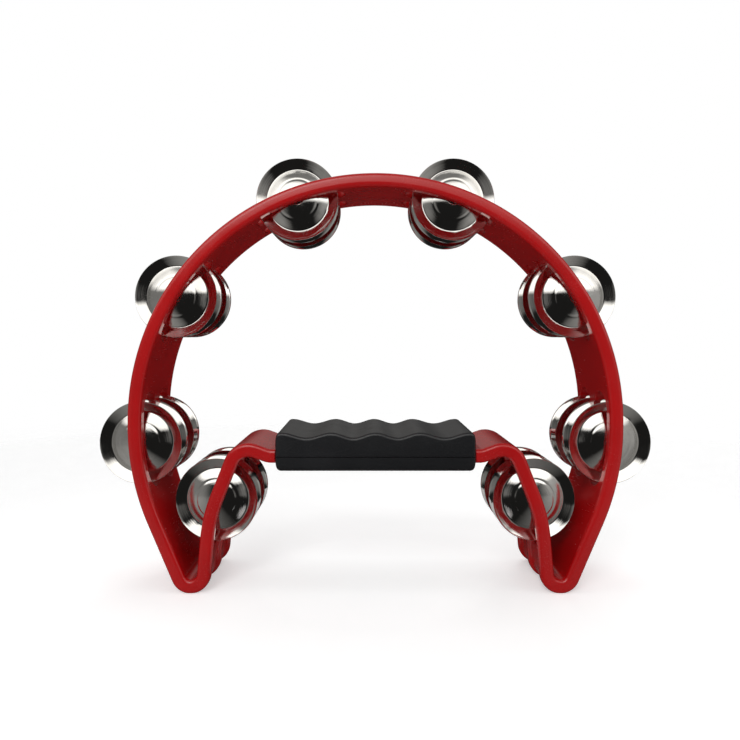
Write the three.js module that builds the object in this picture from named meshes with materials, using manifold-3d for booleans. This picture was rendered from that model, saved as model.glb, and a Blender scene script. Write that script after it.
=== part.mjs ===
// A half-moon tambourine: a moulded band bent into an arch with two pointed feet and a hand bar,
// thirty-two pressed steel jingles on eight steel pins, and a two-shell finger grip screwed on the bar.
// Millimetres, +Z up. It stands on its two feet: the origin is on the floor, midway between them.
// The front looks along -Y, X runs along the bar, and the pins lie along Y.
import * as THREE from "three";
import { ParametricGeometry } from "three/addons/geometries/ParametricGeometry.js";
import { mergeVertices } from "three/addons/utils/BufferGeometryUtils.js";
import Module from "manifold-3d";

const wasm = await Module();
wasm.setup();

// ---- Driving dimensions ----

// The jingle: a disc pressed into a dome, a valley round it and an upturned brim.
const jingleRadius = 20;
const valleyRadius = 15;
const domeHeight = 4.5;
const brimLift = 2.8;
const sheet = 0.6;
const holeRadius = 2.5;

// The pin that carries four jingles, and the pockets that hold it.
const pinRadius = 1.3;
const pinHeadRadius = 2.1;
const pinHeadDepth = 0.9;
const pinBite = 4; // how far the pin's point goes into the front rail
const pinGap = 0.2;
const seatGap = 0.3; // between pieces that rest on each other

// The band, seen from the end: smooth inside, and outside two shallow channels between three rails.
const pairPlay = 5.8; // how far the two jingles of a pair can part inside their slot
const railDepth = 5.65; // band in front of the front slot, and behind the rear one
const ribDepth = 6.7; // band between the two rows of slots
const rimThickness = 6.6;
const rimRound = 2.2;
const channelDepth = 1.4;
const channelSlope = 0.9;
const slotLedge = 0.6; // channel floor left beside a slot
const footFlat = 0.4; // planed off each foot, so that it stands on a flat
const slotEndRoom = 4;

// The band, seen from the front: its centre line from the top of the arch to the bar.
const archRadius = 115.2;
const sideRun = 2.5; // straight piece where the arch is widest
const archOverrun = 23.3; // degrees that the arch bends on below that
const flankLength = 29.7; // straight side, down to the foot
const footRadius = 6.3;
const limbLean = 4.9; // degrees from upright, just above the foot
const limbLowLength = 17.1;
const limbRadius = 70;
const limbTurn = 17;
const limbHighLength = 18;
const shoulderRadius = 9;
const rampAngle = 20; // degrees that the band slopes down to the bar
const rampLength = 5.5;
const rampEndRadius = 8;

// Where the jingles sit, along the centre line: from the top of the arch, and from the end of the foot.
const archStations = { top: 39, mid: 116.6, low: 191.5 };
const limbStation = 35.5;

// The grip: two shells round the bar.
const gripHalfLength = 47.6;
const gripWall = 2.2;
const barGap = 0.4;
const barRelief = 1; // taken off each rim where the grip covers it
const gripCrest = 11.6; // height of a finger ridge over the bar's centre line
const fingerDepth = 2.4;
const ridgeInset = 3; // from the grip's end to its outer ridge
const middleTuck = 1.3; // the two middle dips are this much shorter than half a side
const gripFloor = 3;
const gripEdge = 1.2;
const shellSeam = 0.3;

// The screws that pull the shells together through the bar.
const screwRadius = 1.4;
const screwHeadRadius = 2.8;
const screwHeadDepth = 1.4;
const screwBite = 8; // above the bar's centre line
const screwHoleGap = 0.3;

// ---- What follows from them ----

const jingleHeight = domeHeight + sheet;
const slotWidth = 2 * jingleHeight + pairPlay;
const slotHalfLength = jingleRadius + slotEndRoom;
const halfDepth = railDepth + slotWidth + ribDepth / 2;
const rowOffset = (ribDepth + slotWidth) / 2;
const rimHalf = rimThickness / 2;
const channelFloor = rimHalf - channelDepth;
const pinInset = channelDepth / 2; // the pins run through the middle of the wall
const barHalfDepth = halfDepth - barRelief;
const gripHalfDepth = barHalfDepth + barGap + gripWall;
const outerRidge = gripHalfLength - ridgeInset;
const innerRidge = outerRidge / 2 - middleTuck;
const jingleHang = holeRadius - pinRadius - seatGap; // how far a jingle's centre hangs below its pin
const jingleParting = pairPlay / 2 - seatGap; // from the slot's middle to a jingle's valley face

const roundStep = 6; // degrees, on the arch
const tightStep = 17; // degrees, on the small bends
const slotSides = 6; // along each half circle at a slot's end
const jingleSides = 14;
const pinSides = 10;
const fingerSteps = 5; // points from one ridge to the next valley

const radians = THREE.MathUtils.degToRad;

// ---- Solids: closed geometry in, closed geometry out ----

function solidOf(geometry) {
  const bare = geometry.index ? geometry.toNonIndexed() : geometry.clone();
  bare.deleteAttribute("normal");
  bare.deleteAttribute("uv");
  const merged = mergeVertices(bare, 1e-3);
  return new wasm.Manifold(
    new wasm.Mesh({
      numProp: 3,
      vertProperties: merged.attributes.position.array,
      triVerts: new Uint32Array(merged.index.array),
    }),
  );
}

function geometryOf(solid) {
  const mesh = solid.getMesh();
  return new THREE.BufferGeometry()
    .setAttribute("position", new THREE.BufferAttribute(mesh.vertProperties, 3))
    .setIndex(new THREE.BufferAttribute(mesh.triVerts, 1));
}

function cutAway(geometry, cutters) {
  return geometryOf(cutters.reduce((solid, cutter) => solid.subtract(solidOf(cutter)), solidOf(geometry)));
}

// A round rod or hole along Y, from y0 to y1, centred on x and z.
function rodAlongY(radius, y0, y1, x, z, sides) {
  return new THREE.CylinderGeometry(radius, radius, y1 - y0, sides).translate(x, (y0 + y1) / 2, z);
}

// The same along Z.
function rodAlongZ(radius, z0, z1, x, y, sides) {
  return new THREE.CylinderGeometry(radius, radius, z1 - z0, sides)
    .rotateX(Math.PI / 2)
    .translate(x, y, (z0 + z1) / 2);
}

function boxBetween(low, high) {
  const size = high.map((value, axis) => value - low[axis]);
  const middle = high.map((value, axis) => (value + low[axis]) / 2);
  return new THREE.BoxGeometry(...size).translate(...middle);
}

// ---- The band's centre line ----

// Half of the loop, as moves: straight runs, and bends to the left or right.
// Walking it keeps the opening on the left, so "left" bends bulge outwards.
const shoulderTurn = 90 - limbLean - limbTurn + rampAngle;
const halfLoop = [
  { left: archRadius, turn: 90, step: roundStep },
  { run: sideRun },
  { left: archRadius, turn: archOverrun, step: roundStep },
  { run: flankLength },
  { left: footRadius, turn: 180 - archOverrun - limbLean, step: tightStep },
  { run: limbLowLength },
  { right: limbRadius, turn: limbTurn, step: roundStep },
  { run: limbHighLength },
  { right: shoulderRadius, turn: shoulderTurn, step: tightStep },
  { run: rampLength },
  { left: rampEndRadius, turn: rampAngle, step: tightStep },
];

// The points of the moves, shifted sideways by offset, positive away from the opening.
function walk(moves, offset) {
  const at = new THREE.Vector2(0, archRadius + offset);
  let heading = Math.PI;
  const points = [at.clone()];
  for (const move of moves) {
    if (move.run !== undefined) {
      at.add(new THREE.Vector2(Math.cos(heading), Math.sin(heading)).multiplyScalar(move.run));
      points.push(at.clone());
      continue;
    }
    const side = move.left === undefined ? -1 : 1;
    const radius = (move.left ?? move.right) + side * offset;
    const count = Math.ceil(move.turn / move.step);
    const bend = radians(move.turn) * side;
    const centre = new THREE.Vector2(-Math.sin(heading), Math.cos(heading))
      .multiplyScalar(radius * side)
      .add(at);
    for (let i = 1; i <= count; i++) {
      const turned = heading + (bend * i) / count;
      const spoke = new THREE.Vector2(Math.sin(turned), -Math.cos(turned));
      points.push(spoke.multiplyScalar(radius * side).add(centre));
    }
    heading += bend;
    at.copy(points.at(-1));
  }
  return { points, at, heading };
}

function lengthOf(move) {
  return move.run ?? radians(move.turn) * (move.left ?? move.right);
}

// The half loop as far as this distance along it.
function upTo(distance) {
  const moves = [];
  let left = distance;
  for (const move of halfLoop) {
    const share = Math.min(1, left / lengthOf(move));
    moves.push(move.run === undefined ? { ...move, turn: move.turn * share } : { run: move.run * share });
    left -= lengthOf(move) * share;
    if (left <= 0) break;
  }
  return moves;
}

const barEnd = walk(halfLoop, 0).at;
const barRun = { run: -barEnd.x };
const wholeLoop = [...halfLoop, barRun, barRun, ...halfLoop.toReversed()];

// The loop's height over the floor: a foot's flat is planed just above its lowest point.
const lowest = Math.min(...walk(halfLoop, rimHalf).points.map((point) => point.y));
const archCentre = -lowest - footFlat;
const barHeight = barEnd.y + archCentre;

function loopPoints(offset) {
  return walk(wholeLoop, offset).points.slice(0, -1);
}

// ---- The band ----

// Its section is mirrored front to rear.
// Each corner is [offset from the centre line, distance in from the face].
const roundMiddle = rimRound * (1 - Math.SQRT1_2);
const rimCorners = [
  [rimHalf - rimRound, 0],
  [rimHalf - roundMiddle, roundMiddle],
  [rimHalf, rimRound],
];
const channelStart = railDepth - slotLedge;
const channelEnd = railDepth + slotWidth + slotLedge;
const outerCorners = [
  ...rimCorners,
  [rimHalf, channelStart - channelSlope],
  [channelFloor, channelStart],
  [channelFloor, channelEnd],
  [rimHalf, channelEnd + channelSlope],
];

function frontToRear(corners) {
  return [
    ...corners.map(([offset, inward]) => [offset, inward - halfDepth]),
    ...corners.toReversed().map(([offset, inward]) => [offset, halfDepth - inward]),
  ];
}

const innerSide = frontToRear(rimCorners).map(([offset, y]) => [-offset, y]);
const section = [...frontToRear(outerCorners), ...innerSide.toReversed()];

// A slot for one pair of jingles: round-ended, cut straight through the wall.
function slotCutter(station, row) {
  const straight = slotHalfLength - slotWidth / 2;
  const shape = new THREE.Shape();
  shape.absarc(straight, 0, slotWidth / 2, -Math.PI / 2, Math.PI / 2, false);
  shape.absarc(-straight, 0, slotWidth / 2, Math.PI / 2, (3 * Math.PI) / 2, false);
  const reach = 3 * rimThickness;
  return new THREE.ExtrudeGeometry(shape, { depth: reach, curveSegments: slotSides, bevelEnabled: false })
    .translate(0, 0, -reach / 2)
    .rotateY(-station.tilt)
    .translate(station.x, row * rowOffset, station.z);
}

// The pin's hole: blind in the front rail, through the rib and the rear rail, with a pocket for the head.
function pinCutters(station) {
  const hole = pinRadius + pinGap;
  const front = -halfDepth + railDepth - pinBite - seatGap;
  const pocket = halfDepth - pinHeadDepth - 2 * seatGap;
  return [
    rodAlongY(hole, front, halfDepth + 1, station.x, station.z, pinSides),
    rodAlongY(pinHeadRadius + pinGap, pocket, halfDepth + 1, station.x, station.z, pinSides),
  ];
}

function frameGeometry(stations, screwPlaces) {
  const curves = section.map(([offset]) => loopPoints(offset));
  const around = curves[0].length;
  const skin = new ParametricGeometry(
    (u, v, target) => {
      const corner = Math.round(u * section.length) % section.length;
      const point = curves[corner][Math.round(v * around) % around];
      target.set(point.x, section[corner][1], point.y + archCentre);
    },
    section.length,
    around,
  );
  const relief = gripHalfLength + barGap;
  const band = rimThickness + 2 * barGap;
  const past = halfDepth + 1;
  const cutters = [
    boxBetween([-archRadius, -past, -2 * footFlat], [archRadius, past, 0]),
    ...stations.flatMap((station) => [-1, 1].map((row) => slotCutter(station, row))),
    ...stations.flatMap(pinCutters),
    boxBetween([-relief, -past, barHeight - band], [relief, -barHalfDepth, barHeight + band]),
    boxBetween([-relief, barHalfDepth, barHeight - band], [relief, past, barHeight + band]),
    ...screwPlaces.map((x) =>
      rodAlongZ(screwRadius + 2 * screwHoleGap, barHeight - band, barHeight + band, x, 0, pinSides),
    ),
  ];
  return cutAway(skin, cutters);
}

// ---- Jingles and pins ----

// A jingle on its own axis: the valley's back face is at zero and the dome rises to +Y.
function jingleGeometry() {
  const domeShoulder = valleyRadius * 0.6;
  const outside = [
    [holeRadius, domeHeight + sheet],
    [domeShoulder, domeHeight * 0.68 + sheet],
    [valleyRadius, sheet],
    [jingleRadius, brimLift + sheet],
  ];
  const inside = outside.map(([radius, height]) => [radius, height - sheet]).toReversed();
  const profile = [...inside.toReversed(), ...outside.toReversed(), inside.at(-1)];
  return new THREE.LatheGeometry(
    profile.map(([radius, height]) => new THREE.Vector2(radius, height)),
    jingleSides,
  );
}

function pinGeometry() {
  const length = 2 * halfDepth - railDepth + pinBite - pinHeadDepth - seatGap;
  const profile = [
    [0, 0],
    [pinRadius, 0],
    [pinRadius, length],
    [pinHeadRadius, length],
    [pinHeadRadius, length + pinHeadDepth],
    [0, length + pinHeadDepth],
  ];
  return new THREE.LatheGeometry(
    profile.map(([radius, height]) => new THREE.Vector2(radius, height)),
    pinSides,
  );
}

// ---- The grip ----

// Height of the finger side over the bar's centre line: ridges at 0, innerRidge and outerRidge.
function fingerHeight(x) {
  const along = Math.min(Math.abs(x), outerRidge);
  const phase =
    along < innerRidge ? along / innerRidge : (along - innerRidge) / (outerRidge - innerRidge);
  return gripCrest - (fingerDepth * (1 - Math.cos(2 * Math.PI * phase))) / 2;
}

// An XZ outline made as deep as the grip, with its front and rear edges eased.
function throughGrip(shape) {
  const depth = 2 * (gripHalfDepth - gripEdge);
  return new THREE.ExtrudeGeometry(shape, {
    depth,
    bevelThickness: gripEdge,
    bevelSize: gripEdge,
    bevelOffset: -gripEdge,
    bevelSegments: 2,
  })
    .translate(0, 0, -depth / 2)
    .rotateX(Math.PI / 2)
    .translate(0, 0, barHeight);
}

function barCavity() {
  const halfHeight = rimHalf + barGap;
  const halfWidth = barHalfDepth + barGap;
  const reach = gripHalfLength + 1;
  return boxBetween(
    [-reach, -halfWidth, barHeight - halfHeight],
    [reach, halfWidth, barHeight + halfHeight],
  );
}

function gripUpperGeometry(screwPlaces) {
  const inner = Array.from({ length: 2 * fingerSteps }, (_, i) => (innerRidge * i) / (2 * fingerSteps));
  const outer = Array.from(
    { length: 2 * fingerSteps + 1 },
    (_, i) => innerRidge + ((outerRidge - innerRidge) * i) / (2 * fingerSteps),
  );
  const right = [...inner, ...outer];
  const across = [...right.toReversed(), ...right.slice(1).map((x) => -x)];
  const corner = ridgeInset;
  const shape = new THREE.Shape();
  shape.moveTo(-gripHalfLength, shellSeam / 2);
  shape.lineTo(gripHalfLength, shellSeam / 2);
  shape.lineTo(gripHalfLength, gripCrest - corner);
  shape.lineTo(gripHalfLength - corner / 4, gripCrest - corner / 4);
  across.forEach((x) => shape.lineTo(x, fingerHeight(x)));
  shape.lineTo(-gripHalfLength + corner / 4, gripCrest - corner / 4);
  shape.lineTo(-gripHalfLength, gripCrest - corner);
  const bite = barHeight + screwBite + screwHoleGap;
  return cutAway(throughGrip(shape), [
    barCavity(),
    ...screwPlaces.map((x) => rodAlongZ(screwRadius + screwHoleGap, barHeight, bite, x, 0, pinSides)),
  ]);
}

function gripLowerGeometry(screwPlaces) {
  const bottom = -(rimHalf + barGap + gripFloor);
  const corner = gripFloor;
  const shape = new THREE.Shape();
  shape.moveTo(gripHalfLength, -shellSeam / 2);
  shape.lineTo(-gripHalfLength, -shellSeam / 2);
  shape.lineTo(-gripHalfLength, bottom + corner);
  shape.absarc(-gripHalfLength + corner, bottom + corner, corner, Math.PI, 1.5 * Math.PI, false);
  shape.absarc(gripHalfLength - corner, bottom + corner, corner, -0.5 * Math.PI, 0, false);
  const floor = barHeight + bottom;
  const pocket = floor + screwHeadDepth + seatGap;
  return cutAway(throughGrip(new THREE.Shape(shape.getPoints(3))), [
    barCavity(),
    ...screwPlaces.flatMap((x) => [
      rodAlongZ(screwRadius + screwHoleGap, floor - 1, barHeight, x, 0, pinSides),
      rodAlongZ(screwHeadRadius + screwHoleGap, floor - 1, pocket, x, 0, pinSides),
    ]),
  ]);
}

// A pan-head screw standing on its head, its underside at zero.
function screwGeometry() {
  const length = screwBite + rimHalf + barGap + gripFloor - seatGap;
  const dome = screwHeadDepth / 3;
  const profile = [
    [0, 0],
    [screwHeadRadius * 0.7, 0],
    [screwHeadRadius, dome],
    [screwHeadRadius, screwHeadDepth - seatGap],
    [screwRadius, screwHeadDepth - seatGap],
    [screwRadius, length - screwRadius],
    [0, length],
  ];
  return new THREE.LatheGeometry(
    profile.map(([radius, height]) => new THREE.Vector2(radius, height)),
    pinSides,
  ).rotateX(Math.PI / 2);
}

// ---- Places ----

// A station is a point in the middle of the band's wall, with the band's tilt there from the X axis.
function stationAt(name, distance, side) {
  const { at, heading } = walk(upTo(distance), -pinInset);
  return { name, x: -side * at.x, z: at.y + archCentre, tilt: -side * heading };
}

const footEnd = halfLoop.slice(0, 5).reduce((sum, move) => sum + lengthOf(move), 0);
const stations = [-1, 1].flatMap((side) => {
  const hand = side < 0 ? "left" : "right";
  return [
    ...Object.entries(archStations).map(([level, distance]) => stationAt(`${hand}_${level}`, distance, side)),
    stationAt(`${hand}_limb`, footEnd + limbStation, side),
  ];
});
const screwPlaces = [-innerRidge, innerRidge];

// ---- Materials ----

const redPlastic = new THREE.MeshStandardMaterial({ color: 0xb01414, roughness: 0.25, metalness: 0 });
const blackRubber = new THREE.MeshStandardMaterial({ color: 0x1a1b1d, roughness: 0.6, metalness: 0 });
const nickelSteel = new THREE.MeshStandardMaterial({ color: 0xc9c9c6, roughness: 0.12, metalness: 1 });
const zincSteel = new THREE.MeshStandardMaterial({ color: 0xa8abae, roughness: 0.35, metalness: 1 });

// ---- Assembly ----

const tambourine = new THREE.Group();

function place(name, geometry, material, x = 0, y = 0, z = 0) {
  const mesh = new THREE.Mesh(geometry, material);
  mesh.name = name;
  mesh.position.set(x, y, z);
  tambourine.add(mesh);
  return mesh;
}

place("frame_band", frameGeometry(stations, screwPlaces), redPlastic);
place("grip_upper_shell", gripUpperGeometry(screwPlaces), blackRubber);
place("grip_lower_shell", gripLowerGeometry(screwPlaces), blackRubber);

const screwFoot = barHeight - rimHalf - barGap - gripFloor;
screwPlaces.forEach((x) => {
  place(`grip_screw_${x < 0 ? "left" : "right"}`, screwGeometry(), zincSteel, x, 0, screwFoot + seatGap);
});

const jingle = jingleGeometry();
const pin = pinGeometry();
const rows = { front: -1, rear: 1 };
for (const station of stations) {
  const pinStart = -halfDepth + railDepth - pinBite;
  place(`pin_${station.name}`, pin, zincSteel, station.x, pinStart, station.z);
  for (const [rowName, row] of Object.entries(rows)) {
    for (const [seat, facing] of [["a", -1], ["b", 1]]) {
      const name = `jingle_${station.name}_${rowName}_${seat}`;
      const y = row * rowOffset + facing * jingleParting;
      const mesh = place(name, jingle, nickelSteel, station.x, y, station.z - jingleHang);
      if (facing < 0) mesh.rotation.x = Math.PI;
    }
  }
}

export default tambourine;
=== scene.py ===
# %% [markdown]
# # A half-moon tambourine
#
# The instrument is a glossy red moulded band, bent into an arch that stands on two pointed feet.
# A straight bar closes the arch and carries a black finger grip. Eight steel pins cross the band
# from front to rear, and each pin carries two pairs of pressed steel jingles in two slots.
#
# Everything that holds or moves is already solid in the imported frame, so this script only gives
# each piece its finished surface. Lengths below are millimetres, and MM turns them into metres.

import bpy
import numpy as np
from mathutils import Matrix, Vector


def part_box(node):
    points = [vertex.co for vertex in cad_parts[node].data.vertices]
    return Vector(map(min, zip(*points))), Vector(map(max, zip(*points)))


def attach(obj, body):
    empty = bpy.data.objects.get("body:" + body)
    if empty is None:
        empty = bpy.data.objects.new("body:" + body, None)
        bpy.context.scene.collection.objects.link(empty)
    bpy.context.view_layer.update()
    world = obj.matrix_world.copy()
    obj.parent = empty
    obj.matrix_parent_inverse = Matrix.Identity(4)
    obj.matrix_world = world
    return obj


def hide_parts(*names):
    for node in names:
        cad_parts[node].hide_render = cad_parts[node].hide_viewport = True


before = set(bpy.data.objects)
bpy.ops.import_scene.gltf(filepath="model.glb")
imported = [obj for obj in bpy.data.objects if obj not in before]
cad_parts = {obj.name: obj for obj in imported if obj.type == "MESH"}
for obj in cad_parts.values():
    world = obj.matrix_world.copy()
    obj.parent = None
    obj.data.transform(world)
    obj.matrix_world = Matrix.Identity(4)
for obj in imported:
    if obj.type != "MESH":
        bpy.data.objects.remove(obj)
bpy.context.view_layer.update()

MM = 0.001


def cad_extent(node):
    """Lowest and highest corner of a CAD node, in millimetres."""
    return np.array(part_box(node)) / MM


def cad_centre(node):
    """Middle of a CAD node's box, in millimetres."""
    return cad_extent(node).mean(axis=0)


# %% [markdown]
# ## Three ways to make a surface
#
# Nearly every piece here is one of three things: a section carried along a path, a profile turned
# round an axis, or an outline stacked in layers. All three give a grid of points, so one helper
# joins neighbouring points into quads, and one more puts the result into a mesh. Working on whole
# arrays keeps the formulas readable and the meshes even, where hand-placed vertices would not be.

# %% Grid of quads
def grid_faces(rows, columns, close_rows=False):
    """Quads of a grid whose columns close on themselves: (i, j), (i, j+1), (i+1, j+1), (i+1, j)."""
    i = np.arange(rows if close_rows else rows - 1)[:, None]
    j = np.arange(columns)[None, :]
    below, beside = (i + 1) % rows, (j + 1) % columns
    corners = [i * columns + j, i * columns + beside, below * columns + beside, below * columns + j]
    return np.stack(corners, axis=-1).reshape(-1, 4)


def make_piece(name, points, faces):
    """A mesh object from points in millimetres, with its faces turned to look outwards."""
    mesh = bpy.data.meshes.new(name)
    mesh.from_pydata((np.asarray(points) * MM).tolist(), [], faces)
    mesh.calc_loop_triangles()
    corners = np.empty(len(mesh.loop_triangles) * 3, dtype=np.int32)
    mesh.loop_triangles.foreach_get("vertices", corners)
    a, b, c = np.asarray(points)[corners.reshape(-1, 3)].transpose(1, 0, 2)
    if np.einsum("ij,ij->i", a, np.cross(b, c)).sum() < 0:
        mesh.flip_normals()
    mesh.update()
    piece = bpy.data.objects.new(name, mesh)
    bpy.context.scene.collection.objects.link(piece)
    return piece


def stack_piece(name, layers):
    """A closed piece from layers[row, column, xyz]: quads between rows, a flat cap on each end."""
    rows, columns = layers.shape[:2]
    caps = [list(range(columns))[::-1], list(range((rows - 1) * columns, rows * columns))]
    faces = grid_faces(rows, columns).tolist() + caps
    return make_piece(name, layers.reshape(-1, 3), faces)


def ring_piece(name, layers):
    """A piece like a tyre from layers[row, column, xyz]: its rows close on themselves as well."""
    rows, columns = layers.shape[:2]
    return make_piece(name, layers.reshape(-1, 3), grid_faces(rows, columns, True).tolist())


# %% Rounded outlines and turned profiles
def ease_corners(corners, ease, steps=5):
    """Round each corner c of a closed outline with the curve (1-t)^2 a + 2t(1-t) c + t^2 b.

    a and b lie on the two sides that meet in c, at the distance ease from it.
    """
    c = np.asarray(corners, dtype=float)
    towards = np.stack([np.roll(c, 1, axis=0) - c, np.roll(c, -1, axis=0) - c])
    towards /= np.linalg.norm(towards, axis=-1, keepdims=True)
    a, b = c + towards * np.reshape(ease, (1, -1, 1))
    t = np.linspace(0, 1, steps)[None, :, None]
    curve = (1 - t) ** 2 * a[:, None] + 2 * t * (1 - t) * c[:, None] + t**2 * b[:, None]
    return curve.reshape(-1, 2)


def turn_profile(profile, sides, start=0.0):
    """Turn (radius, height) points round the Y axis: x = r cos a, y = height, z = r sin a."""
    radius, height = np.asarray(profile, dtype=float).T
    angle = start + np.linspace(0, 2 * np.pi, sides, endpoint=False)[None, :]
    x = radius[:, None] * np.cos(angle)
    y = np.broadcast_to(height[:, None], x.shape)
    return np.stack([x, y, radius[:, None] * np.sin(angle)], axis=-1)


# %% Shading and cutting
def shade(piece, sharp_degrees=35):
    """Smooth shading, with an edge kept sharp where the faces turn by more than sharp_degrees."""
    piece.data.shade_smooth()
    piece.data.set_sharp_from_angle(angle=np.radians(sharp_degrees))


def cut_away(piece, cutters):
    """Subtract closed cutters from a closed piece, and remove the cutters."""
    for cutter in cutters:
        cut = piece.modifiers.new("cut", "BOOLEAN")
        cut.operation = "DIFFERENCE"
        cut.solver = "MANIFOLD"
        cut.object = cutter
    seen = piece.evaluated_get(bpy.context.evaluated_depsgraph_get())
    finished = bpy.data.meshes.new_from_object(seen)
    piece.modifiers.clear()
    piece.data = finished
    for cutter in cutters:
        bpy.data.objects.remove(cutter)


# %% [markdown]
# ## The band's centre line
#
# Seen from the front, the band is one closed loop: the arch, two straight flanks, two tight feet,
# two limbs that lean inwards, two shoulders, and the bar under the grip. Each stretch is straight
# or has one radius, so the whole loop is a short list of lengths and turns. The heading is then a
# straight-line function of the distance walked, and the loop is the running sum of small steps
# along that heading. A spline through chosen points would never keep the bends this clean.

# %% Walk a path
def stretch_bend(radius, degrees):
    """A bend of this radius: its length, and the degrees turned to the left."""
    return abs(radius * np.radians(degrees)), degrees


def walk(stretches, start, heading, step=0.02):
    """Distance, points and heading of a path: d(point)/d(distance) = (cos heading, sin heading)."""
    lengths, turns = np.array(stretches).T
    knots = np.concatenate([[0], np.cumsum(lengths)])
    headings = heading + np.radians(np.concatenate([[0], np.cumsum(turns)]))
    distance = np.linspace(0, knots[-1], int(knots[-1] / step) + 1)
    middle = np.interp((distance[1:] + distance[:-1]) / 2, knots, headings)
    steps = np.diff(distance)[:, None] * np.stack([np.cos(middle), np.sin(middle)], axis=-1)
    points = np.asarray(start) + np.concatenate([[[0, 0]], np.cumsum(steps, axis=0)])
    return distance, points, np.interp(distance, knots, headings)


# %% Centre line of the band
rim_half = 3.3
arch_radius = cad_extent("frame_band")[1, 0] - rim_half
half_loop = [
    stretch_bend(arch_radius, 90),
    (2.5, 0),
    stretch_bend(arch_radius, 23.3),
    (29.7, 0),
    stretch_bend(6.3, 151.8),
    (17.1, 0),
    stretch_bend(70, -17),
    (18, 0),
    stretch_bend(9, -88.1),
    (5.5, 0),
    stretch_bend(8, 20),
]
arch_centre = cad_extent("frame_band")[1, 2] - rim_half - arch_radius
bar_half = -walk(half_loop, (0, 0), np.pi)[1][-1, 0]
loop = half_loop + [(2 * bar_half, 0)] + half_loop[::-1]
loop_distance, loop_points, loop_heading = walk(loop, (0, arch_centre + arch_radius), np.pi)
loop_length = loop_distance[-1]
bar_height = loop_points[len(loop_points) // 2, 1]
print(f"loop {loop_length:.1f} mm round, bar {bar_height:.1f} mm over the floor")


def on_band(distance, offset, depth):
    """Point of the band: centre line at distance, offset away from the opening, depth along Y."""
    distance = np.asarray(distance) % loop_length
    heading = np.interp(distance, loop_distance, loop_heading)
    x = np.interp(distance, loop_distance, loop_points[:, 0]) + offset * np.sin(heading)
    z = np.interp(distance, loop_distance, loop_points[:, 1]) - offset * np.cos(heading)
    return np.stack(np.broadcast_arrays(x, depth, z), axis=-1)


# %% [markdown]
# ## The band
#
# The real band is injection moulded in one shot. Inside it is smooth. Outside it has two shallow
# channels between three rails, which save plastic and hold the pins. The section is drawn once
# with its corners rounded, and carried along the centre line. Where the line bends, the samples
# move closer: their spacing is the smaller of a fixed length and a fixed turn.

# %% Section of the band
band_front, band_rear = cad_extent("frame_band")[:, 1]
half_depth = (band_rear - band_front) / 2
rail_depth = 5.65
rib_depth = 6.7
slot_width = half_depth - rail_depth - rib_depth / 2
row_offset = (rib_depth + slot_width) / 2
channel_floor = rim_half - 1.4
channel_start = half_depth - rail_depth + 0.6
channel_end = rib_depth / 2 - 0.6

front_half = [
    (-rim_half, -half_depth),
    (rim_half, -half_depth),
    (rim_half, -channel_start - 0.9),
    (channel_floor, -channel_start),
    (channel_floor, -channel_end),
    (rim_half, -channel_end + 0.9),
]
rear_half = [(offset, -depth) for offset, depth in front_half[::-1]]
ease_front = [2.3, 2.3, 0.45, 0.45, 0.45, 0.45]
band_section = ease_corners(front_half + rear_half, ease_front + ease_front[::-1], steps=7)


# %% Sweep the band
def even_samples(longest, degrees):
    """Distances round the loop, spaced by min(longest, degrees of turn): the inverse of a sum."""
    bend = np.abs(np.gradient(loop_heading, loop_distance))
    rate = np.maximum(1 / longest, bend / np.radians(degrees))
    count = np.concatenate([[0], np.cumsum((rate[1:] + rate[:-1]) / 2 * np.diff(loop_distance))])
    return np.interp(np.linspace(0, count[-1], int(count[-1]), endpoint=False), count, loop_distance)


stations = even_samples(longest=2.4, degrees=4.0)[:, None]
band = ring_piece("band_shell", on_band(stations, band_section[:, 0], band_section[:, 1]))
print("band sweep:", len(band.data.polygons), "faces")

# %% [markdown]
# ## Slots, pin holes and flat feet
#
# Each slot is a stadium: two half circles and two straight sides. A straight cutter would meet the
# curved wall at a slant, so the cutter is drawn in the band's own coordinates and bent with it.
# It also flares where it leaves the wall, which leaves the small rounded lip that a mould gives.

# %% Slot cutters
slot_half = 24
lip = 0.55
# A flat cap dips by slot_half^2 / (2 R) = 4.1 where the limb bends, so cutters reach further.
cutter_reach = 5.0


def slot_cutter(distance, row):
    """A stadium outline stacked through the wall, shifted outwards by lip (1 - sin a) at a lip."""
    straight = slot_half - slot_width / 2
    end = stretch_bend(slot_width / 2, 180)
    sides = [(2 * straight, 0), end, (2 * straight, 0), end]
    walked, outline, heading = walk(sides, (-straight, -slot_width / 2), 0.0)
    pick = np.linspace(0, walked[-1], 96, endpoint=False)
    along = np.interp(pick, walked, outline[:, 0])
    across = np.interp(pick, walked, outline[:, 1])
    turned = np.interp(pick, walked, heading)
    angle = np.radians([18, 40, 62, 84])
    flare = lip * (1 - np.sin(angle))
    height = lip * np.cos(angle)
    level = np.concatenate([[channel_floor + cutter_reach], channel_floor - lip + height])
    level = np.concatenate([level, (-rim_half + lip - height)[::-1], [-rim_half - cutter_reach]])
    shift = np.concatenate([[flare[0] + 0.12], flare, flare[::-1], [flare[0] + 0.12]])[:, None]
    s = distance + along + shift * np.sin(turned)
    y = row * row_offset + across - shift * np.cos(turned)
    return stack_piece("slot_cutter", on_band(s, level[:, None], y))


foot_end = sum(length for length, _ in half_loop[:5])
left_stations = [39, 116.6, 191.5, foot_end + 35.5]
slot_places = left_stations + [loop_length - place for place in left_stations]
cutters = [slot_cutter(place, row) for place in slot_places for row in (-1, 1)]

# %% Pin holes, feet, the bar's relief and the screw holes
def turned_piece(name, profile, x, z, sides=40, start=0.0):
    """A solid turned round a line along Y at x, z."""
    return stack_piece(name, turn_profile(profile, sides, start) + np.array([x, 0, z]))


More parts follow.
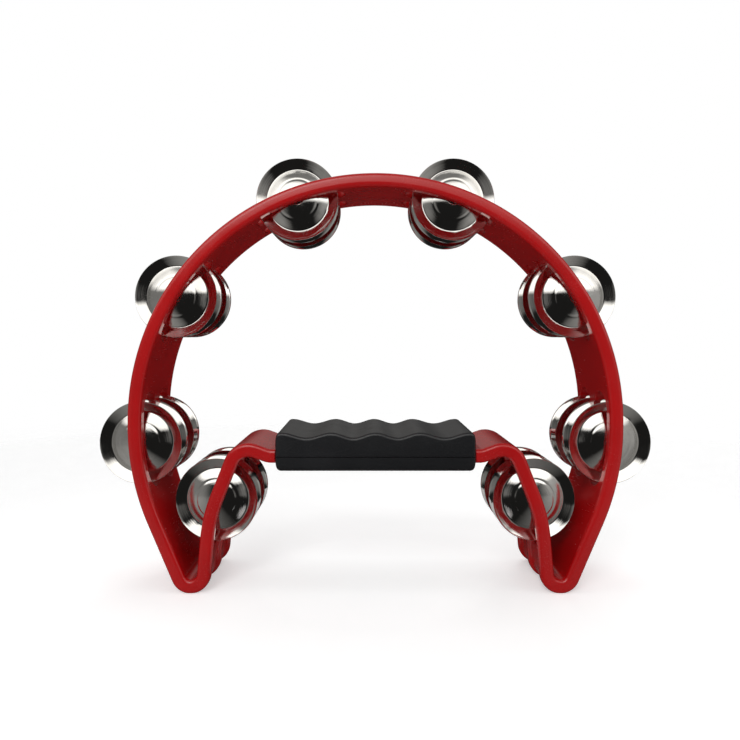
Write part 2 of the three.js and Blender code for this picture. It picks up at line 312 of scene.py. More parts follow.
def block(name, low, high):
    """A plain box between two corners, for cutting."""
    x, y, z = zip(low, high)
    outline = np.array([[x[0], y[0]], [x[1], y[0]], [x[1], y[1]], [x[0], y[1]]])
    layers = [np.column_stack([outline, np.full(4, level)]) for level in z]
    return stack_piece(name, np.array(layers))


def upright(layers):
    """Swing a piece that was turned round Y so that it stands along Z: (x, y, z) to (x, -z, y)."""
    return np.stack([layers[..., 0], -layers[..., 2], layers[..., 1]], axis=-1)


def upright_rod(radius, x, low, high):
    """A round cutter standing along Z."""
    rod = upright(turn_profile([(radius, low), (radius, high)], 32))
    return stack_piece("rod", rod + np.array([x, 0, 0]))


pin_nodes = sorted(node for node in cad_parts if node.startswith("pin_"))
pin_hole_radius = 1.5
pocket_radius = 2.3
pocket_mouth = 2.9
pocket_lip = 0.3
hole_front, pocket_floor = -half_depth + 1.35, half_depth - 1.5
past = half_depth + 2
for node in pin_nodes:
    x, _, z = cad_centre(node)
    hole = [(pin_hole_radius, hole_front), (pin_hole_radius, pocket_floor)]
    hole += [(pocket_radius, pocket_floor), (pocket_radius, half_depth - pocket_lip)]
    hole += [(pocket_mouth, half_depth + pocket_lip), (pocket_mouth, past)]
    cutters.append(turned_piece("hole_cutter", hole, x, z))
cutters.append(block("foot_cutter", (-140, -past, -5), (140, past, 0)))

grip_high = cad_extent("grip_upper_shell")[1]
grip_end = grip_high[0]
grip_half_depth = grip_high[1]
bar_half_depth = half_depth - 1
bar_gap = 0.4
relief = grip_end + bar_gap
under_bar, over_bar = bar_height - 8, bar_height + 8
for low, high in ((-past, -bar_half_depth), (bar_half_depth, past)):
    cutters.append(block("bar_cutter", (-relief, low, under_bar), (relief, high, over_bar)))
screw_places = [cad_centre(f"grip_screw_{side}")[0] for side in ("left", "right")]
screw_hole_radius = 2.0
cutters += [upright_rod(screw_hole_radius, x, under_bar, over_bar) for x in screw_places]

cut_away(band, cutters)
shade(band, 30)
band.modifiers.new("even light", "WEIGHTED_NORMAL").keep_sharp = True
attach(band, "frame")
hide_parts("frame_band")
print("band cut:", len(band.data.polygons), "faces")

# %% [markdown]
# ## Jingles
#
# A jingle is pressed from a thin disc: a dome with a hole for the pin, a crisp valley round the
# dome, and a brim that turns back up. Its outline is a formula of the radius, so it is turned as
# one closed ring of sheet. The press also leaves a few small dents across the valley, which are
# smooth bumps in radius and angle, placed afresh on each jingle. A texture could fake the dents,
# but real geometry bends the reflections, and reflections are all one sees of polished metal.

# %% Jingle surface
jingle_radius = 20.0
valley_radius = 15.0
dome_height = 4.5
brim_lift = 2.8
sheet = 0.6
hole_radius = 2.5
valley_ease = 0.4
crease_radius = 9.8
crease_depth = 0.14
dent_depth = 0.14
edge_radius = 0.3


def jingle_height(radius):
    """Smooth maximum (a + b + sqrt((a - b)^2 + e^2)) / 2 of the dome and the brim's cone.

    The dome is H (1 - (r/R)^2.2), with a shallow ring pressed in it where the punch ended.
    """
    dome = dome_height * (1 - (radius / valley_radius) ** 2.2)
    dome = dome - crease_depth * np.exp(-(((radius - crease_radius) / 0.55) ** 2))
    brim = brim_lift * (radius - valley_radius) / (jingle_radius - valley_radius)
    return (dome + brim + np.sqrt((dome - brim) ** 2 + valley_ease**2)) / 2


def jingle_outline():
    """Closed outline of the sheet: the inside from hole to edge, a round edge, the outside back."""
    first, last = hole_radius + edge_radius, jingle_radius - edge_radius
    dome = np.linspace(first, valley_radius - 1, 36)
    valley = np.linspace(valley_radius - 0.9, valley_radius + 0.9, 13)
    radius = np.concatenate([dome, valley, np.linspace(valley_radius + 1.5, last, 6)])
    edge = np.radians([-60, -30, 0, 30, 60])
    bulge, rise = edge_radius * np.cos(edge), edge_radius * np.sin(edge)
    rim = np.stack([last + bulge, edge_radius + rise], axis=-1)
    rim[:, 1] += brim_lift
    hole = np.stack([first - bulge, edge_radius - rise], axis=-1)
    hole[:, 1] += jingle_height(first)
    inside = np.stack([radius, jingle_height(radius)], axis=-1)
    outside = np.stack([radius, jingle_height(radius) + sheet], axis=-1)
    return np.concatenate([inside, rim, outside[::-1], hole])


def press_marks(radius, angle, chance):
    """Small dents on the valley: a sum of bumps dent_depth exp(-(dr/w)^2) exp(-(arc/l)^2)."""
    centres = chance.uniform(0, 2 * np.pi, 3)[:, None, None]
    arc = radius * np.abs((angle - centres + np.pi) % (2 * np.pi) - np.pi)
    across = np.exp(-(((radius - valley_radius) / 0.9) ** 2))
    return dent_depth * (across * np.exp(-((arc / 0.9) ** 2))).sum(axis=0)


def add_turned_map(piece, rows, columns):
    """A UV map for a turned ring: u is the share of a turn, v the share of the outline."""
    corner = np.empty(len(piece.data.loops), dtype=np.int32)
    piece.data.loops.foreach_get("vertex_index", corner)
    row, column = corner // columns, corner % columns
    quad = corner.reshape(-1, 4)
    wraps = (quad % columns).max(axis=1) - (quad % columns).min(axis=1) > columns // 2
    column = column + columns * (np.repeat(wraps, 4) & (column < columns // 2))
    uv = np.stack([column / columns, row / rows], axis=-1)
    layer = piece.data.uv_layers.new(name="turned")
    layer.data.foreach_set("uv", uv.astype(np.float32).ravel())


# %% Make the jingles
jingle_sides = 96
outline = jingle_outline()
jingle_nodes = sorted(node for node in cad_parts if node.startswith("jingle_"))
jingles = []
for number, node in enumerate(jingle_nodes):
    chance = np.random.default_rng(number)
    faces_front = -1 if node.endswith("_a") else 1
    low, high = cad_extent(node)
    x, z = (low[0] + high[0]) / 2, (low[2] + high[2]) / 2
    back = high[1] if faces_front < 0 else low[1]
    layers = turn_profile(outline, jingle_sides)
    radius = np.broadcast_to(outline[:, :1], layers.shape[:2])
    angle = np.arctan2(layers[..., 2], layers[..., 0])
    layers[..., 1] += press_marks(radius, angle, chance) * (radius > valley_radius - 4)
    layers[..., 1] *= faces_front
    jingle = ring_piece(node.replace("jingle", "disc"), layers + np.array([x, back, z]))
    add_turned_map(jingle, len(outline), jingle_sides)
    shade(jingle, 50)
    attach(jingle, node)
    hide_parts(node)
    jingles.append(jingle)
print("jingles:", len(jingles), "of", len(jingles[0].data.polygons), "faces")

# %% [markdown]
# ## Pins and screws
#
# The pins are drawn steel wire with an upset head, pushed in from the rear until the point seats
# in the front rail. The grip's two screws come from below. Both are turned profiles with rounded
# edges, and the screw head gets its cross-shaped driver recess cut out of it.

# %% Pins
pins = []
for node in pin_nodes:
    (_, front, _), (_, rear, _) = cad_extent(node)
    x, _, z = cad_centre(node)
    neck = rear - 0.9
    profile = [(0.5, front), (0.95, front + 0.15), (1.3, front + 0.7)]
    profile += [(1.3, neck - 0.15), (1.42, neck), (1.95, neck), (2.1, neck + 0.15)]
    profile += [(2.1, rear - 0.4), (1.9, rear - 0.14), (1.2, rear)]
    pin = turned_piece(node.replace("pin", "jingle_pin"), profile, x, z)
    shade(pin, 40)
    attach(pin, "frame")
    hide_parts(node)
    pins.append(pin)


# %% Grip screws
head = 1.1
screws = []
for side in ("left", "right"):
    node = f"grip_screw_{side}"
    x, y, _ = cad_centre(node)
    foot, tip = cad_extent(node)[:, 2]
    thread = np.arange(foot + head + 1.2, tip - 1.6, 0.275)
    ridge = np.where(np.arange(len(thread)) % 4 == 2, 1.4, 1.12)
    profile = [(1.6, foot), (2.3, foot + 0.18), (2.72, foot + 0.55)]
    profile += [(2.8, foot + head), (1.15, foot + head), *zip(ridge, thread)]
    profile += [(0.9, tip - 1.0), (0.15, tip)]
    layers = upright(turn_profile(profile, 40)) + np.array([x, y, 0])
    screw = stack_piece(f"shell_screw_{side}", layers)
    recess = [
        block("recess", (x - a, y - b, foot - 1), (x + a, y + b, foot + 0.75))
        for a, b in ((1.35, 0.3), (0.3, 1.35))
    ]
    cut_away(screw, recess)
    shade(screw, 35)
    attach(screw, "frame")
    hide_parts(node)
    screws.append(screw)
print("pins:", len(pins), "screws:", len(screws))

# %% [markdown]
# ## Grip
#
# Two moulded shells close round the bar and meet in a parting line halfway up. The upper one has
# five ridges with four finger valleys between them, and its underside is hollow for the bar. Each
# shell is a stack of rounded sections along the bar, so the ridges are one cosine of the length,
# and the cavity is cut afterwards, as the core of the mould would leave it.

# %% Grip shape
crest = grip_high[2] - bar_height
floor_level = cad_extent("grip_lower_shell")[0, 2]
finger_depth = 2.4
inner_ridge = 21.0
outer_ridge = 44.6
seam = 0.15
edge_round = 1.5
end_round = 1.3
end_dip = 2.6


def finger_height(x):
    """Ridge height minus a raised cosine, whose waves are longer past the inner ridges."""
    along = np.minimum(np.abs(x), outer_ridge)
    outside = (along - inner_ridge) / (outer_ridge - inner_ridge)
    phase = np.where(along < inner_ridge, along / inner_ridge, outside)
    wave = crest - finger_depth * (1 - np.cos(2 * np.pi * phase)) / 2
    past_ridge = np.clip((np.abs(x) - outer_ridge) / (grip_end - outer_ridge), 0, 1)
    return wave - end_dip * (1 - np.sqrt(1 - 0.96 * past_ridge**2))


def flat_height(x):
    """Underside: level, with corners of this radius at both ends: R - sqrt(R^2 - d^2) lower."""
    bottom = bar_height - floor_level
    corner = 3.0
    inwards = np.clip(np.abs(x) - (grip_end - corner), 0, corner)
    return bottom - (corner - np.sqrt(corner**2 - 0.98 * inwards**2))


def grip_shell(name, reach, side):
    """Rounded sections along X: the sides pull in by r - sqrt(r^2 - d^2) at both ends."""
    spread = np.linspace(-1, 1, 181)
    x = grip_end * np.sin(spread * np.pi / 2 * 0.999) * 0.25 + grip_end * spread * 0.75
    x = np.clip(x, -grip_end, grip_end)[:, None]
    near_end = np.clip(np.abs(x) - (grip_end - end_round), 0, end_round)
    pull = end_round - np.sqrt(end_round**2 - 0.98 * near_end**2)
    turn = np.linspace(0, np.pi / 2, 8)
    wide = grip_half_depth - edge_round + edge_round * np.sin(turn[::-1])
    drop = edge_round * (1 - np.cos(turn[::-1]))
    side_steps = np.array([0.0, 0.3, 0.65])
    flank = np.full(3, grip_half_depth)
    y = np.concatenate([-flank, -wide, wide[::-1], flank])
    share = np.concatenate([side_steps, np.ones(16), side_steps[::-1]])
    down = np.concatenate([np.zeros(3), drop, drop[::-1], np.zeros(3)])
    top = reach(x) - pull
    shoulder = top - edge_round
    z = np.where(share < 1, seam + share * (shoulder - seam), top - down)
    y = y * (grip_half_depth - pull) / grip_half_depth
    layers = np.stack(np.broadcast_arrays(x, y, bar_height + side * z), axis=-1)
    return stack_piece(name, layers)


# %% Cut and finish the grip
cavity_half = 60
shaft_hole = 1.7
head_hole = 3.1
head_seat = 1.7
pilot_top = bar_height + 8.3


def bar_cavity():
    """The room for the bar: its section grown by the gap between bar and shell."""
    high = rim_half + bar_gap
    corners = [(-bar_half_depth - bar_gap, -high), (bar_half_depth + bar_gap, -high)]
    outline = ease_corners(corners + [(-y, -z) for y, z in corners], [1.0] * 4)
    ends = [
        np.column_stack([np.full(len(outline), x), outline]) for x in (-cavity_half, cavity_half)
    ]
    return stack_piece("cavity", np.array(ends) + np.array([0, 0, bar_height]))


upper = grip_shell("grip_upper", finger_height, 1)
lower = grip_shell("grip_lower", flat_height, -1)
upper_rods = [upright_rod(shaft_hole, x, bar_height, pilot_top) for x in screw_places]
cut_away(upper, [bar_cavity()] + upper_rods)
lower_rods = [upright_rod(shaft_hole, x, floor_level - 1, bar_height) for x in screw_places]
lower_rods += [
    upright_rod(head_hole, x, floor_level - 1, floor_level + head_seat) for x in screw_places
]
cut_away(lower, [bar_cavity()] + lower_rods)
for shell, node in ((upper, "grip_upper_shell"), (lower, "grip_lower_shell")):
    shade(shell, 32)
    shell.modifiers.new("even light", "WEIGHTED_NORMAL").keep_sharp = True
    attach(shell, "frame")
    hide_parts(node)
print("grip shells:", len(upper.data.polygons), "and", len(lower.data.polygons), "faces")

# %% [markdown]
# ## Effects that several finishes share
#
# Moulded plastic is never perfectly flat: the tool's polish leaves a faint ripple, and handling
# leaves hairline scratches. Two node groups hold those effects with named inputs, so each finish
# places them with its own values. They only give out colours, masks, values and normals.

# %% Node helpers
def new_group(name, inputs, outputs):
    """A shader node group with these sockets: name to (type, default value)."""
    group = bpy.data.node_groups.new(name, "ShaderNodeTree")
    for socket, (kind, value) in inputs.items():
        made = group.interface.new_socket(socket, in_out="INPUT", socket_type=f"NodeSocket{kind}")
        made.default_value = value
    for socket, kind in outputs.items():
        group.interface.new_socket(socket, in_out="OUTPUT", socket_type=f"NodeSocket{kind}")
    return group, group.nodes.new("NodeGroupInput"), group.nodes.new("NodeGroupOutput")


def add_node(tree, kind, **values):
    """A node with its properties and its unlinked inputs set by name; names use _ for a space."""
    node = tree.nodes.new(f"ShaderNode{kind}")
    for name, value in values.items():
        if hasattr(node, name):
            setattr(node, name, value)
        else:
            node.inputs[name.replace("_", " ")].default_value = value
    return node


def noise(tree, vector, scale, detail=3.0, roughness=0.55):
    """Noise of this scale, as one value round 0.5."""
    node = add_node(tree, "TexNoise", Scale=scale, Detail=detail, Roughness=roughness)
    tree.links.new(vector, node.inputs["Vector"])
    return node.outputs["Fac"]


def remap(tree, value, low, high, to_low, to_high):
    """Map low..high to to_low..to_high, clamped; each bound is a number or a socket."""
    node = add_node(tree, "MapRange")
    bounds = {"From Min": low, "From Max": high, "To Min": to_low, "To Max": to_high}
    for name, bound in bounds.items():
        if isinstance(bound, bpy.types.NodeSocket):
            tree.links.new(bound, node.inputs[name])
        else:
            node.inputs[name].default_value = bound
    tree.links.new(value, node.inputs["Value"])
    return node.outputs["Result"]


def blend(tree, share, first, second):
    """Mix two colours; each is a socket or an RGBA tuple."""
    node = tree.nodes.new("ShaderNodeMix")
    node.data_type = "RGBA"
    tree.links.new(share, node.inputs["Factor"])
    colours = [socket for socket in node.inputs if socket.type == "RGBA"]
    for socket, colour in zip(colours, (first, second)):
        if isinstance(colour, bpy.types.NodeSocket):
            tree.links.new(colour, socket)
        else:
            socket.default_value = colour
    return next(socket for socket in node.outputs if socket.type == "RGBA")


# %% Moulded skin
def moulded_skin_group():
    """Ripple, hairlines and a slow drift of tone on a moulded surface, from Object coordinates."""
    inputs = {
        "Tone": ("Color", (0.5, 0.5, 0.5, 1)),
        "Shade": ("Color", (0.4, 0.4, 0.4, 1)),
        "Gloss": ("Float", 0.2),
        "Scuff": ("Float", 0.1),
        "Grain": ("Float", 900.0),
        "Grain Depth": ("Float", 0.02),
    }
    outputs = {"Color": "Color", "Roughness": "Float", "Normal": "Vector"}
    group, given, result = new_group("moulded skin", inputs, outputs)
    place = add_node(group, "TexCoord").outputs["Object"]
    drift = noise(group, place, scale=28.0, detail=2.0)
    deeper = remap(group, drift, 0.35, 0.7, 0.0, 1.0)
    colour = blend(group, deeper, given.outputs["Tone"], given.outputs["Shade"])
    group.links.new(colour, result.inputs["Color"])

    stretch = add_node(group, "Mapping", Scale=(1.0, 0.12, 1.0), Rotation=(0.3, 0.5, 0.2))
    group.links.new(place, stretch.inputs["Vector"])
    hairline = noise(group, stretch.outputs["Vector"], scale=1500.0, detail=2.0, roughness=0.7)
    patches = noise(group, place, scale=60.0, detail=4.0)
    lines = remap(group, hairline, 0.6, 0.72, 0.0, 1.0)
    handled = remap(group, patches, 0.42, 0.68, 0.15, 1.0)
    scuffed = add_node(group, "Math", operation="MULTIPLY")
    group.links.new(lines, scuffed.inputs[0])
    group.links.new(handled, scuffed.inputs[1])
    dulled = add_node(group, "Math", operation="MULTIPLY_ADD")
    group.links.new(scuffed.outputs[0], dulled.inputs[0])
    group.links.new(given.outputs["Scuff"], dulled.inputs[1])
    group.links.new(given.outputs["Gloss"], dulled.inputs[2])
    softened = add_node(group, "Math", operation="MULTIPLY_ADD")
    group.links.new(handled, softened.inputs[0])
    softened.inputs[1].default_value = 0.06
    group.links.new(dulled.outputs[0], softened.inputs[2])
    group.links.new(softened.outputs[0], result.inputs["Roughness"])

    grain = add_node(group, "TexNoise", Detail=3.0, Roughness=0.6)
    group.links.new(place, grain.inputs["Vector"])
    group.links.new(given.outputs["Grain"], grain.inputs["Scale"])
    bump = add_node(group, "Bump", Distance=0.0004)
    group.links.new(given.outputs["Grain Depth"], bump.inputs["Strength"])
    group.links.new(grain.outputs["Fac"], bump.inputs["Height"])
    group.links.new(bump.outputs["Normal"], result.inputs["Normal"])
    return group


# %% Turned metal
def turned_metal_group():
    """Fine rings round a turned or spun piece, and slow clouds of handling, from a given vector."""
    inputs = {
        "Vector": ("Vector", (0, 0, 0)),
        "Bright": ("Color", (0.8, 0.8, 0.8, 1)),
        "Clouded": ("Color", (0.6, 0.6, 0.6, 1)),
        "Polish": ("Float", 0.08),
        "Cloud": ("Float", 0.1),
        "Rings": ("Float", 60.0),
    }
    outputs = {"Color": "Color", "Roughness": "Float", "Rings": "Float"}
    group, given, result = new_group("turned metal", inputs, outputs)
    rings = add_node(group, "TexNoise", Detail=2.0, Roughness=0.6)
    group.links.new(given.outputs["Vector"], rings.inputs["Vector"])
    group.links.new(given.outputs["Rings"], rings.inputs["Scale"])
    place = add_node(group, "TexCoord").outputs["Object"]
    patches = noise(group, place, scale=110.0, detail=5.0, roughness=0.65)
    cloud = remap(group, patches, 0.45, 0.72, 0.0, 1.0)
    colour = blend(group, cloud, given.outputs["Bright"], given.outputs["Clouded"])
    group.links.new(colour, result.inputs["Color"])
    dulled = add_node(group, "Math", operation="MULTIPLY_ADD")
    group.links.new(cloud, dulled.inputs[0])
    group.links.new(given.outputs["Cloud"], dulled.inputs[1])
    group.links.new(given.outputs["Polish"], dulled.inputs[2])
    group.links.new(dulled.outputs[0], result.inputs["Roughness"])
    group.links.new(rings.outputs["Fac"], result.inputs["Rings"])
    return group


moulded_skin = moulded_skin_group()
turned_metal = turned_metal_group()


# %% Material helpers
def new_material(name):
    """An empty material with a Principled surface: the tree, and the surface node."""
    material = bpy.data.materials.new(name)
    material.use_nodes = True
    return material, material.node_tree, material.node_tree.nodes["Principled BSDF"]


def put_group(tree, group, **values):
    """Place a node group and set its inputs by name; names use _ for a space."""
    node = tree.nodes.new("ShaderNodeGroup")
    node.node_tree = group
    for name, value in values.items():
        node.inputs[name.replace("_", " ")].default_value = value
    return node


def dress(pieces, material):
    """Give the pieces one material."""
    for piece in pieces:
        piece.data.materials.clear()
        piece.data.materials.append(material)


# %% [markdown]
# ## Red moulded plastic
#
# The band is ABS, coloured through and polished by the mould. Its gloss is close to even, with a
# faint ripple that breaks up long reflections, and it turns a little deeper where it was handled.
# A thin clear coat is not there on the real band, so the plastic's own reflection does the work.

# %% Red plastic
def red_plastic():
    """Saturated red with a sharp reflection."""
    material, tree, surface = new_material("red plastic")
    skin = put_group(
        tree,
        moulded_skin,
        Tone=(0.47, 0.004, 0.005, 1),
        Shade=(0.40, 0.003, 0.004, 1),
        Gloss=0.19,
        Scuff=0.16,
        Grain=260.0,
        Grain_Depth=0.05,
    )
    tree.links.new(skin.outputs["Color"], surface.inputs["Base Color"])
    tree.links.new(skin.outputs["Roughness"], surface.inputs["Roughness"])
    tree.links.new(skin.outputs["Normal"], surface.inputs["Normal"])
    surface.inputs["IOR"].default_value = 1.53
    return material


dress([band], red_plastic())

# %% [markdown]
# ## Black grip
#
# The grip is a softer plastic with a fine spark-eroded grain, so it looks satin: near black, with
# a wide grey sheen on the ridges that face the light.

# %% Grip plastic
def grip_plastic():
    """Near black with a broad, dim reflection and a fine grain."""
    material, tree, surface = new_material("grip plastic")
    skin = put_group(
        tree,
        moulded_skin,
        Tone=(0.0035, 0.004, 0.0055, 1),
        Shade=(0.006, 0.0065, 0.0085, 1),
        Gloss=0.40,
        Scuff=0.12,
        Grain=1900.0,
        Grain_Depth=0.22,
    )
    tree.links.new(skin.outputs["Color"], surface.inputs["Base Color"])
    tree.links.new(skin.outputs["Roughness"], surface.inputs["Roughness"])
    tree.links.new(skin.outputs["Normal"], surface.inputs["Normal"])
    surface.inputs["IOR"].default_value = 1.5
    return material


dress([upper, lower], grip_plastic())

# %% [markdown]
# ## Nickel plated jingles
#
# Polished plate is almost a mirror. What tells it from glass is a very slight warmth, the rings
# that the polishing wheel leaves round the dome, and a few cloudy patches from fingers. The rings
# follow the turned map, where the noise is squeezed along the turn and stretched across it.

# %% Nickel plate
def nickel_plate():
    """A mirror with faint rings and clouds."""
    material, tree, surface = new_material("nickel plate")
    turned = add_node(tree, "UVMap", uv_map="turned")
    squeeze = add_node(tree, "Mapping", Scale=(0.6, 14.0, 1.0))
    tree.links.new(turned.outputs["UV"], squeeze.inputs["Vector"])
    metal = put_group(
        tree,
        turned_metal,
        Bright=(0.77, 0.765, 0.75, 1),
        Clouded=(0.66, 0.65, 0.63, 1),
        Polish=0.045,
        Cloud=0.11,
        Rings=9.0,
    )
    tree.links.new(squeeze.outputs["Vector"], metal.inputs["Vector"])
    bump = add_node(tree, "Bump", Strength=0.10, Distance=0.0003)
    tree.links.new(metal.outputs["Rings"], bump.inputs["Height"])
    tree.links.new(metal.outputs["Color"], surface.inputs["Base Color"])
    tree.links.new(metal.outputs["Roughness"], surface.inputs["Roughness"])
    tree.links.new(bump.outputs["Normal"], surface.inputs["Normal"])
    surface.inputs["Metallic"].default_value = 1.0
    return material


dress(jingles, nickel_plate())


# %% Zinc plated steel
def zinc_steel():
    """Drawn steel under thin zinc: bluish, duller than the jingles, drawn along its length."""
    material, tree, surface = new_material("zinc plated steel")
    place = add_node(tree, "TexCoord")
    stretch = add_node(tree, "Mapping", Scale=(700.0, 40.0, 700.0))
    tree.links.new(place.outputs["Object"], stretch.inputs["Vector"])
    metal = put_group(
        tree,
        turned_metal,
        Bright=(0.60, 0.62, 0.65, 1),
        Clouded=(0.42, 0.43, 0.45, 1),
        Polish=0.26,
        Cloud=0.18,
        Rings=1.6,
    )
    tree.links.new(stretch.outputs["Vector"], metal.inputs["Vector"])
    bump = add_node(tree, "Bump", Strength=0.15, Distance=0.0002)
    tree.links.new(metal.outputs["Rings"], bump.inputs["Height"])
    tree.links.new(metal.outputs["Color"], surface.inputs["Base Color"])
    tree.links.new(metal.outputs["Roughness"], surface.inputs["Roughness"])
    tree.links.new(bump.outputs["Normal"], surface.inputs["Normal"])
    surface.inputs["Metallic"].default_value = 1.0
    return material


dress(pins + screws, zinc_steel())

# %% [markdown]
# ## Studio
#
# The stage is white: a pale round floor that fades into a white world. Polished metal would look
# like paper in it, so, as a photographer would, the studio has a tent that only reflections see.
# The tent is dark low in front, white from just above the eye to well overhead, grey at the ceiling
# and behind, and warm at the sides. Its glow is a formula of the direction from the object, and it
# gives each jingle a white upper dome, a black lower one and warm flanks.

# %% Floor
floor_radius = 0.8


def pale_floor():
    """White floor whose edge fades out: the share of Transparent grows with the distance."""
    material, tree, surface = new_material("pale floor")
    surface.inputs["Roughness"].default_value = 0.7
    place = add_node(tree, "TexCoord")
    speck = noise(tree, place.outputs["Object"], scale=40.0)
    tree.links.new(remap(tree, speck, 0.3, 0.7, 0.85, 0.87), surface.inputs["Base Color"])
    surface.inputs["Emission Color"].default_value = (1, 1, 1, 1)
    path = add_node(tree, "LightPath")
    lift = remap(tree, path.outputs["Is Camera Ray"], 0.0, 1.0, 0.0, 0.42)
    tree.links.new(lift, surface.inputs["Emission Strength"])
    far = add_node(tree, "VectorMath", operation="LENGTH")
    tree.links.new(place.outputs["Object"], far.inputs[0])
    fade = remap(tree, far.outputs["Value"], 0.2, floor_radius * 0.9, 0.0, 1.0)
    clear = add_node(tree, "BsdfTransparent")
    mix = add_node(tree, "MixShader")
    tree.links.new(fade, mix.inputs[0])
    tree.links.new(surface.outputs[0], mix.inputs[1])
    tree.links.new(clear.outputs[0], mix.inputs[2])
    tree.links.new(mix.outputs[0], tree.nodes["Material Output"].inputs["Surface"])
    return material


floor_rings = np.array([[floor_radius / MM, -4.0], [floor_radius / MM, 0.0]])
floor = stack_piece("floor", upright(turn_profile(floor_rings, 96)) - np.array([0, 0, 0.05]))
floor.data.materials.append(pale_floor())

# %% Reflection tent
tent_radius = 0.6
tent_dark = 0.012
tent_window = 1.5
tent_ceiling = 0.35
tent_side = 0.35
tent_rear = 0.33
object_middle = 0.11


def product(tree, *factors):
    """The factors multiplied together, one Math node for each pair."""
    total = factors[0]
    for factor in factors[1:]:
        node = add_node(tree, "Math", operation="MULTIPLY")
        tree.links.new(total, node.inputs[0])
        if isinstance(factor, float):
            node.inputs[1].default_value = factor
        else:
            tree.links.new(factor, node.inputs[1])
        total = node.outputs[0]
    return total


def total_of(tree, first, *others):
    """The values added together."""
    for other in others:
        node = add_node(tree, "Math", operation="ADD")
        tree.links.new(first, node.inputs[0])
        tree.links.new(other, node.inputs[1])
        first = node.outputs[0]
    return first


def tent_paint():
    """Glow by direction from the object: window + ceiling + sides + rear + dark, each a soft box."""
    material, tree, _ = new_material("tent")
    place = add_node(tree, "TexCoord").outputs["Object"]
    seen = add_node(tree, "VectorMath", operation="SUBTRACT")
    seen.inputs[1].default_value = (0, 0, object_middle)
    tree.links.new(place, seen.inputs[0])
    aim = add_node(tree, "VectorMath", operation="NORMALIZE")
    tree.links.new(seen.outputs["Vector"], aim.inputs[0])
    parts = add_node(tree, "SeparateXYZ")
    tree.links.new(aim.outputs["Vector"], parts.inputs["Vector"])
    across = add_node(tree, "Math", operation="ABSOLUTE")
    tree.links.new(parts.outputs["X"], across.inputs[0])
    ahead = remap(tree, parts.outputs["Y"], -0.55, 0.05, 1.0, 0.0)
    beside = remap(tree, parts.outputs["Y"], -0.1, 0.5, 1.0, 0.0)
    panes = remap(tree, noise(tree, place, scale=1.7, detail=0.5), 0.40, 0.60, 0.55, 1.0)
    window = product(
        tree,
        remap(tree, parts.outputs["Z"], 0.22, 0.34, 0.0, tent_window),
        remap(tree, parts.outputs["Z"], 0.74, 0.86, 1.0, 0.0),
        ahead,
    )
    rear = product(
        tree,
        remap(tree, parts.outputs["Z"], 0.04, 0.15, 0.0, tent_rear),
        remap(tree, parts.outputs["Y"], 0.0, 0.4, 0.0, 1.0),
        remap(tree, parts.outputs["X"], 0.1, 0.35, 1.0, 0.0),
    )
    ceiling = product(tree, remap(tree, parts.outputs["Z"], 0.70, 0.85, 0.0, tent_ceiling), panes)
    sides = product(tree, remap(tree, across.outputs[0], 0.45, 0.8, 0.0, tent_side), beside, panes)
    dark = add_node(tree, "Value")
    dark.outputs[0].default_value = tent_dark
    shine = add_node(tree, "Emission", Color=(1.0, 0.975, 0.93, 1))
    glow = total_of(tree, window, ceiling, sides, rear, dark.outputs[0])
    tree.links.new(glow, shine.inputs["Strength"])
    tree.links.new(shine.outputs[0], tree.nodes["Material Output"].inputs["Surface"])
    return material


def stage_card(name, outline):
    """A sheet turned round Z that only reflections see."""
    layers = upright(turn_profile(outline, 96))
    rows, columns = layers.shape[:2]
    card = make_piece(name, layers.reshape(-1, 3), grid_faces(rows, columns).tolist())
    card.data.materials.append(tent)
    for ray in ("camera", "diffuse", "shadow", "transmission"):
        setattr(card, f"visible_{ray}", False)


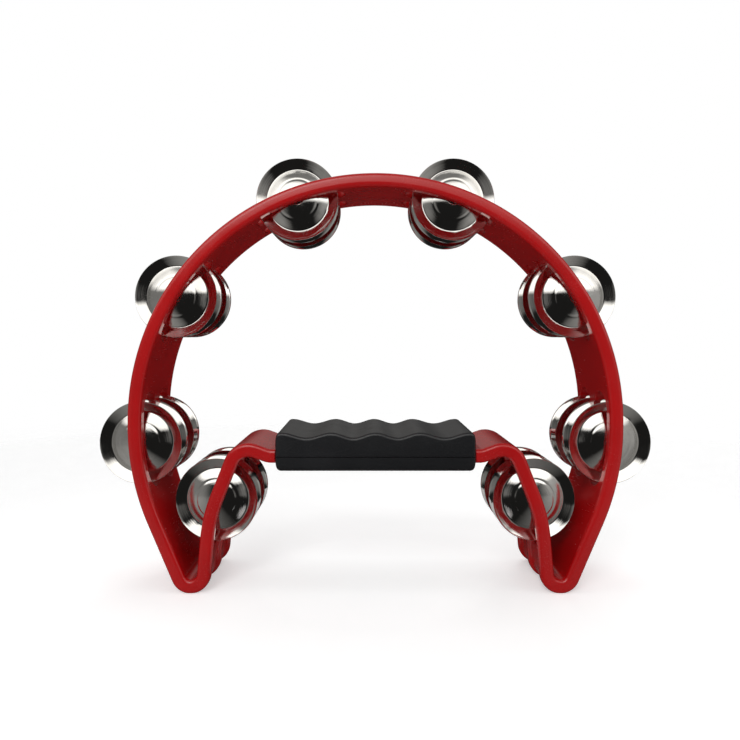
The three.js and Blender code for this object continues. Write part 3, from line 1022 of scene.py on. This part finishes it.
tent = tent_paint()
climb = np.radians(np.linspace(-12, 89, 40))
tent_outline = np.stack([np.cos(climb), np.sin(climb)], axis=-1) * tent_radius / MM
stage_card("tent_wall", tent_outline + np.array([0, object_middle / MM]))
stage_card("tent_floor", [(60, 0.1), (tent_radius / MM, 0.1)])

# %% World
world = bpy.data.worlds.new("studio")
bpy.context.scene.world = world
world.use_nodes = True
sky = world.node_tree
background = sky.nodes["Background"]
background.inputs["Color"].default_value = (1, 1, 1, 1)
path = add_node(sky, "LightPath")
shown = add_node(sky, "Math", operation="MAXIMUM")
sky.links.new(path.outputs["Is Camera Ray"], shown.inputs[0])
sky.links.new(path.outputs["Is Transmission Ray"], shown.inputs[1])
sky.links.new(remap(sky, shown.outputs[0], 0.0, 1.0, 0.42, 1.0), background.inputs["Strength"])


# %% Lamps
def soft_box(name, place, aim, size, radiance):
    """A square area lamp at place that looks at aim, in metres; power = radiance pi size^2."""
    lamp = bpy.data.lights.new(name, "AREA")
    lamp.size = size
    lamp.energy = radiance * np.pi * size**2
    box = bpy.data.objects.new(name, lamp)
    bpy.context.scene.collection.objects.link(box)
    gaze = np.array(aim) - np.array(place)
    turn = np.arctan2(gaze[1], gaze[0]) - np.pi / 2
    tilt = np.arctan2(np.hypot(gaze[0], gaze[1]), -gaze[2])
    box.location = place
    box.rotation_euler = (tilt, 0, turn)


middle = (0, 0, 0.11)
soft_box("overhead", (0.0, 0.15, 1.1), middle, size=0.8, radiance=1.1)
soft_box("key", (-0.22, -0.8, 0.62), middle, size=0.42, radiance=6.6)
soft_box("kicker", (0.75, -0.5, 0.3), middle, size=0.12, radiance=7.0)
soft_box("rear key", (0.3, 0.9, 0.7), middle, size=0.4, radiance=3.0)

# %% Camera
frame_width = 740
camera_data = bpy.data.cameras.new("camera")
camera = bpy.data.objects.new("camera", camera_data)
bpy.context.scene.collection.objects.link(camera)
camera.location = (-0.005, -0.340, 0.1231)
camera.rotation_euler = (np.pi / 2, 0, 0)
camera_data.sensor_width = 36
camera_data.lens = 32.24
camera_data.shift_x = 5 / frame_width
camera_data.shift_y = -35 / frame_width
camera_data.clip_start = 0.01
bpy.context.scene.camera = camera
bpy.context.scene.view_settings.view_transform = "Standard"
